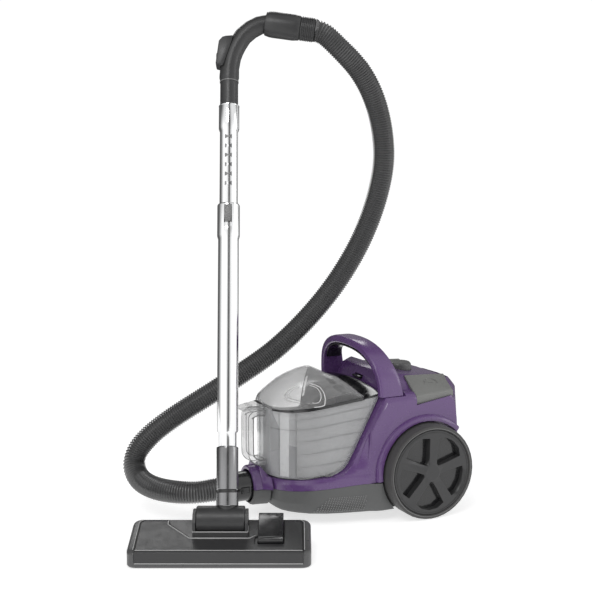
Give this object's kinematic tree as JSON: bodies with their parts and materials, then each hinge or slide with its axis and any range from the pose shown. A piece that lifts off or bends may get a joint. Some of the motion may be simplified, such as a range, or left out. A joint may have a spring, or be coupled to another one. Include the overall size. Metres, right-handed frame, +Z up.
{
  "type": "bagless cylinder vacuum cleaner",
  "caption": "Wheeled cylinder vacuum cleaner with clear lift-out dust bin, carry handle, foot pedals, corrugated hose, telescopic wand and flat floor head.",
  "frame": {"origin": "centre of the bounding box on the floor, without the hose", "axes": "+Z up along the longest extent; -X towards the canister's nose; -Y towards the near side, where the floor head lies"},
  "size_m": [0.682, 0.4201, 0.8885],
  "materials": {
    "black": "glossy",
    "charcoal": "satin",
    "chrome": "polished",
    "clear": "clear polished",
    "grey": "fine satin grain",
    "gunmetal": "satin metallic",
    "olive": "satin",
    "purple": "glossy moulded",
    "rubber": "matt, ribbed tread",
    "smoke": "satin",
    "steel": "brushed"
  },
  "bodies": {
    "canister": {"base_tub": "grey", "upper_shell": "purple", "carry_handle": "purple", "handle_grip": "black", "snout_lower": "grey", "snout_upper": "purple", "inlet_duct": "charcoal", "motor_housing": "charcoal", "motor_stator": "steel", "reel_spindle": "steel", "exhaust_filter": "smoke", "exhaust_grille": "charcoal", "cord_outlet": "black", "axle_left": "steel", "axle_right": "steel", "pre_filter": "smoke", "lower_tube": "chrome", "neck_sleeve": "gunmetal", "hose": "rubber"},
    "wheel_left": {"wheel_disc_left": "charcoal", "wheel_tyre_left": "rubber"},
    "wheel_right": {"wheel_disc_right": "charcoal", "wheel_tyre_right": "rubber"},
    "caster_fork": {"caster_fork": "charcoal"},
    "caster_wheel": {"caster_wheel": "rubber"},
    "motor_rotor": {"motor_rotor": "steel"},
    "cord_reel": {"cord_reel": "charcoal"},
    "dust_bin": {"bin_shell": "clear", "bin_handle": "clear", "cyclone_body": "smoke", "cyclone_shroud": "charcoal"},
    "bin_lid": {"bin_lid": "clear", "bin_seal": "black", "lid_bar": "black"},
    "lid_latch": {"lid_latch": "clear"},
    "bin_release": {"bin_release": "black"},
    "power_pedal": {"power_pedal": "olive"},
    "rewind_pedal": {"rewind_pedal": "olive"},
    "suction_knob": {"suction_knob": "olive"},
    "upper_wand": {"upper_tube": "chrome", "handle_pipe": "charcoal", "swivel_collar": "charcoal", "relief_housing": "charcoal"},
    "relief_slider": {"relief_slider": "grey"},
    "hose_cuff": {"hose_cuff": "charcoal"},
    "tube_button": {"tube_button": "black"},
    "hose_connector": {"hose_connector": "black"},
    "connector_button": {"connector_button": "charcoal"},
    "wand_elbow": {"pivot_housing": "charcoal"},
    "floor_head": {"pivot_yoke": "charcoal", "head_frame_shell": "charcoal", "head_cover": "charcoal", "sole_plate": "steel"},
    "foot_switch": {"foot_switch": "black"},
    "brush_bar": {"brush_bar": "black"},
    "head_roller_left": {"head_roller_left": "rubber"},
    "head_roller_right": {"head_roller_right": "rubber"}
  },
  "joints": [
    {"name": "wheel_left_spin", "type": "hinge", "parent": "canister", "child": "wheel_left", "pos_m": [0.216, 0.191, 0.0845], "axis": [0, 1, 0], "continuous": true},
    {"name": "wheel_right_spin", "type": "hinge", "parent": "canister", "child": "wheel_right", "pos_m": [0.216, -0.069, 0.0845], "axis": [0, 1, 0], "continuous": true},
    {"name": "caster_swivel", "type": "hinge", "parent": "canister", "child": "caster_fork", "pos_m": [0.026, 0.061, 0.03], "axis": [0, 0, 1], "continuous": true},
    {"name": "caster_roll", "type": "hinge", "parent": "caster_fork", "child": "caster_wheel", "pos_m": [0.0335, 0.061, 0.0115], "axis": [0, 1, 0], "continuous": true},
    {"name": "motor_spin", "type": "hinge", "parent": "canister", "child": "motor_rotor", "pos_m": [0.228, 0.061, 0.118], "axis": [0, 1, 0], "continuous": true},
    {"name": "reel_spin", "type": "hinge", "parent": "canister", "child": "cord_reel", "pos_m": [0.228, 0.061, 0.118], "axis": [0, 1, 0], "continuous": true},
    {"name": "bin_lift", "type": "slide", "parent": "canister", "child": "dust_bin", "axis": [-0.6, 0, 0.8], "range_m": [0, 0.1]},
    {"name": "lid_hinge", "type": "hinge", "parent": "dust_bin", "child": "bin_lid", "pos_m": [0.1415, 0.061, 0.2225], "axis": [0, 1, 0], "range_deg": [0, 30]},
    {"name": "latch_slide", "type": "slide", "parent": "bin_lid", "child": "lid_latch", "axis": [-1, 0, 0], "range_m": [0, 0.004], "stiffness_N_per_m": 200, "springref_m": -0.002},
    {"name": "release_push", "type": "slide", "parent": "canister", "child": "bin_release", "axis": [0, 0, -1], "range_m": [0, 0.0015], "stiffness_N_per_m": 200, "springref_m": -0.001},
    {"name": "power_press", "type": "slide", "parent": "canister", "child": "power_pedal", "axis": [0, 0, -1], "range_m": [0, 0.003], "stiffness_N_per_m": 800, "springref_m": -0.0015},
    {"name": "rewind_press", "type": "slide", "parent": "canister", "child": "rewind_pedal", "axis": [0, 0, -1], "range_m": [0, 0.003], "stiffness_N_per_m": 800, "springref_m": -0.0015},
    {"name": "knob_turn", "type": "hinge", "parent": "canister", "child": "suction_knob", "pos_m": [0.235, 0.061, 0.24], "axis": [0, 0, 1], "range_deg": [-135, 135]},
    {"name": "wand_extend", "type": "slide", "parent": "canister", "child": "upper_wand", "axis": [0.1389, 0.3126, 0.9397], "range_m": [-0.11, 0.15], "deforming": ["hose"]},
    {"name": "relief_slide", "type": "slide", "parent": "upper_wand", "child": "relief_slider", "axis": [0.1389, 0.3126, 0.9397], "range_m": [-0.003, 0.007]},
    {"name": "cuff_swivel", "type": "hinge", "parent": "upper_wand", "child": "hose_cuff", "pos_m": [0.00311, 0.14566, 0.86733], "axis": [0.8736, -0.4671, -0.1365], "continuous": true},
    {"name": "tube_button_slide", "type": "slide", "parent": "canister", "child": "tube_button", "axis": [-0.1389, -0.3126, -0.9397], "range_m": [0, 0.006], "stiffness_N_per_m": 200, "springref_m": -0.002},
    {"name": "connector_swivel", "type": "hinge", "parent": "canister", "child": "hose_connector", "pos_m": [-0.054, 0.061, 0.0575], "axis": [1, 0, 0], "continuous": true},
    {"name": "connector_press", "type": "slide", "parent": "hose_connector", "child": "connector_button", "axis": [0, 1, 0], "range_m": [0, 0.002], "stiffness_N_per_m": 200, "springref_m": -0.001},
    {"name": "neck_swivel", "type": "hinge", "parent": "canister", "child": "wand_elbow", "pos_m": [-0.1744, -0.0963, 0.058], "axis": [0.1389, 0.3126, 0.9397], "range_deg": [-20, 20]},
    {"name": "head_tilt", "type": "hinge", "parent": "wand_elbow", "child": "floor_head", "pos_m": [-0.18344, -0.09203, 0.058], "axis": [0.9044, -0.4267, 0], "range_deg": [-15, 25]},
    {"name": "foot_switch_press", "type": "slide", "parent": "floor_head", "child": "foot_switch", "axis": [0, 0, -1], "range_m": [0, 0.005], "stiffness_N_per_m": 600, "springref_m": -0.002},
    {"name": "brush_lift", "type": "slide", "parent": "floor_head", "child": "brush_bar", "axis": [0, 0, 1], "range_m": [0, 0.005]},
    {"name": "roller_left_spin", "type": "hinge", "parent": "floor_head", "child": "head_roller_left", "pos_m": [-0.27302, -0.01239, 0.0045], "axis": [0.9044, -0.4267, 0], "continuous": true},
    {"name": "roller_right_spin", "type": "hinge", "parent": "floor_head", "child": "head_roller_right", "pos_m": [-0.06502, -0.11054, 0.0045], "axis": [0.9044, -0.4267, 0], "continuous": true}
  ],
  "couplings": [
    {"joint": "brush_lift", "follows": "foot_switch_press", "ratio": 1}
  ]
}
